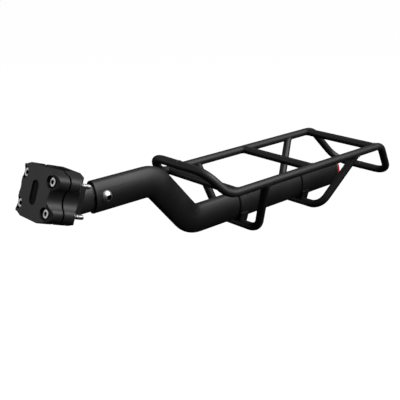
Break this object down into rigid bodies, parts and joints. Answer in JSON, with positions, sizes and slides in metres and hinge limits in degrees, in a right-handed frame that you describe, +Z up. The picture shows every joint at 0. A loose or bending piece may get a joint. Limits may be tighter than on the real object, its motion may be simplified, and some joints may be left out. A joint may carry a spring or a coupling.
{
  "type": "seatpost luggage rack",
  "caption": "Cantilever luggage rack: a tilted split clamp grips a seatpost and an oval beam with a double bend carries a hooped rod platform.",
  "frame": {"origin": "centre of the clamp's bore, on the axis of the seatpost it grips", "axes": "+X rearward along the beam and platform, +Y to the rider's right, +Z up; the seatpost axis leans 19.5 degrees from +Z towards +X"},
  "size_m": [0.5424, 0.1244, 0.1351],
  "materials": {
    "frame_powder_coat": "satin black powder coat",
    "clamp_anodised": "matte black anodised forging",
    "bright_steel": "bright plated steel screws",
    "shim_rubber": "black rubber shim",
    "housing_plastic": "black moulded plastic",
    "lens_plastic": "clear red prismatic plastic"
  },
  "bodies": {
    "clamp_rear_half": {"clamp_body": "clamp_anodised", "shim_rear": "shim_rubber"},
    "clamp_front_half": {"clamp_cap": "clamp_anodised", "shim_front": "shim_rubber"},
    "bolt_upper_left": {"clamp_bolt_upper_left": "bright_steel"},
    "bolt_upper_right": {"clamp_bolt_upper_right": "bright_steel"},
    "bolt_lower_left": {"clamp_bolt_lower_left": "bright_steel"},
    "bolt_lower_right": {"clamp_bolt_lower_right": "bright_steel"},
    "rack": {"beam_tube": "frame_powder_coat", "cross_washer": "bright_steel", "cross_nut": "bright_steel", "side_rod_left": "frame_powder_coat", "side_rod_right": "frame_powder_coat", "crossbar_front": "frame_powder_coat", "crossbar_middle": "frame_powder_coat", "crossbar_rear": "frame_powder_coat", "stay_front": "frame_powder_coat", "stay_rear": "frame_powder_coat", "saddle_front": "frame_powder_coat", "saddle_rear": "frame_powder_coat", "reflector_housing": "housing_plastic", "reflector_lens": "lens_plastic"},
    "beam_bolt": {"cross_bolt": "bright_steel"}
  },
  "joints": [
    {"name": "clamp_open", "type": "slide", "parent": "clamp_rear_half", "child": "clamp_front_half", "axis": [-0.9426, 0, 0.3338], "range_m": [0, 0.008]},
    {"name": "bolt_upper_left_turn", "type": "hinge", "parent": "clamp_front_half", "child": "bolt_upper_left", "pos_m": [0.00507, -0.0218, 0.01433], "axis": [0.9426, 0, -0.3338], "continuous": true},
    {"name": "bolt_upper_right_turn", "type": "hinge", "parent": "clamp_front_half", "child": "bolt_upper_right", "pos_m": [0.00507, 0.0218, 0.01433], "axis": [0.9426, 0, -0.3338], "continuous": true},
    {"name": "bolt_lower_left_turn", "type": "hinge", "parent": "clamp_front_half", "child": "bolt_lower_left", "pos_m": [-0.00507, -0.0218, -0.01433], "axis": [0.9426, 0, -0.3338], "continuous": true},
    {"name": "bolt_lower_right_turn", "type": "hinge", "parent": "clamp_front_half", "child": "bolt_lower_right", "pos_m": [-0.00507, 0.0218, -0.01433], "axis": [0.9426, 0, -0.3338], "continuous": true},
    {"name": "beam_slide", "type": "slide", "parent": "clamp_rear_half", "child": "rack", "axis": [1, 0, 0], "range_m": [-0.01, 0.03]},
    {"name": "beam_bolt_turn", "type": "hinge", "parent": "rack", "child": "beam_bolt", "pos_m": [0.0606, 0, -0.0151], "axis": [0, 1, 0], "continuous": true}
  ]
}
